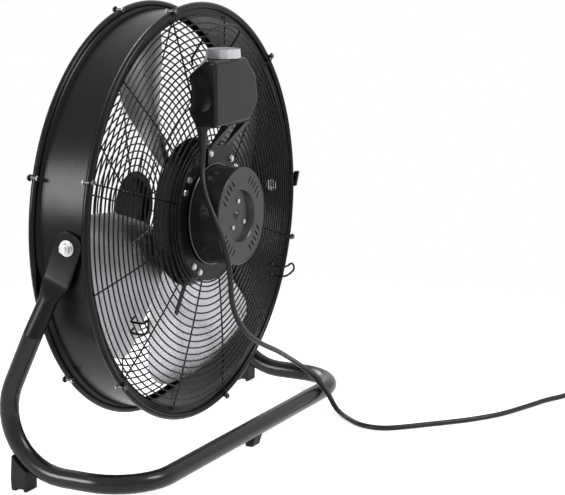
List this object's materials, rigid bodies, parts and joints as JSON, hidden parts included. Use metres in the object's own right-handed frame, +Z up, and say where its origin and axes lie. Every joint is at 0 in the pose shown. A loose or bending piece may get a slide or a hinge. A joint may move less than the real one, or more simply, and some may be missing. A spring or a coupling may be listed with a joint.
{
  "type": "drum fan",
  "caption": "Drum fan: a sheet-metal drum with wire guards and a rear motor, tilting between the legs of a bent tube stand, with a control box and a mains cord.",
  "frame": {"origin": "on the floor under the middle of the stand base, at rest with the drum level", "axes": "+X to the left seen from behind the motor, along the tilt axis; +Y from the outlet guard towards the motor; +Z up"},
  "size_m": [0.8475, 0.6873, 0.6041],
  "materials": {
    "stand_paint": "satin powder coat",
    "foot_rubber": "matte",
    "zinc": "zinc plated",
    "screw_black": "dull plated",
    "drum_paint": "satin powder coat",
    "wire_paint": "satin powder coat",
    "motor_paint": "satin paint",
    "bracket_steel": "satin grey",
    "laminations": "bare laminations",
    "bearing_steel": "ground",
    "box_plastic": "fine grain",
    "capacitor_can": "drawn can",
    "switch_plastic": "moulded",
    "cord_rubber": "smooth jacket",
    "pin_brass": "bare",
    "blade_aluminium": "rolled sheet",
    "hub_steel": "plated",
    "knob_plastic": "metallised"
  },
  "bodies": {
    "stand": {"stand_tube": "stand_paint", "leg_end_left": "stand_paint", "leg_end_right": "stand_paint", "foot_front_left": "foot_rubber", "foot_front_right": "foot_rubber", "foot_rear": "foot_rubber", "foot_screws": "zinc", "power_cord": "cord_rubber", "cord_coil": "cord_rubber", "cord_tail": "cord_rubber", "mains_plug": "cord_rubber", "plug_pins": "pin_brass"},
    "drum": {"drum_shell": "drum_paint", "rear_guard_rings": "wire_paint", "rear_guard_spokes": "wire_paint", "front_guard_rings": "wire_paint", "front_guard_spokes": "wire_paint", "front_centre_dish": "wire_paint", "rear_guard_screws": "screw_black", "front_guard_screws": "screw_black", "guard_nuts": "zinc", "carry_handle": "wire_paint", "cord_hook_left": "wire_paint", "cord_hook_right": "wire_paint", "motor_housing": "motor_paint", "motor_strap": "bracket_steel", "motor_mount_ring": "bracket_steel", "motor_mount_bolts": "zinc", "motor_rear_cover": "motor_paint", "motor_cover_screws": "zinc", "motor_stator": "laminations", "front_bearing": "bearing_steel", "rear_bearing": "bearing_steel", "control_box_base": "box_plastic", "control_box_cover": "box_plastic", "control_box_bracket": "bracket_steel", "control_box_screws": "zinc", "run_capacitor": "capacitor_can", "speed_switch": "switch_plastic", "cord_gland": "cord_rubber", "pivot_bolts": "zinc", "pivot_washers": "zinc", "pivot_nuts": "zinc"},
    "rotor": {"fan_shaft": "bearing_steel", "rotor_core": "laminations", "fan_hub": "hub_steel", "blade_arms": "hub_steel", "blade_1": "blade_aluminium", "blade_2": "blade_aluminium", "blade_3": "blade_aluminium", "blade_4": "blade_aluminium", "blade_rivets": "zinc"},
    "knob": {"speed_knob": "knob_plastic", "knob_spindle": "bearing_steel"}
  },
  "joints": [
    {"name": "tilt", "type": "hinge", "parent": "stand", "child": "drum", "pos_m": [0, -0.015, 0.3153], "axis": [1, 0, 0], "range_deg": [-20, 12], "deforming": ["power_cord"]},
    {"name": "rotor_spin", "type": "hinge", "parent": "drum", "child": "rotor", "pos_m": [0, -0.0268, 0.319], "axis": [0, 1, 0], "continuous": true},
    {"name": "knob_turn", "type": "hinge", "parent": "drum", "child": "knob", "pos_m": [0, 0.0532, 0.531], "axis": [0, 0, 1], "range_deg": [0, 270]}
  ]
}
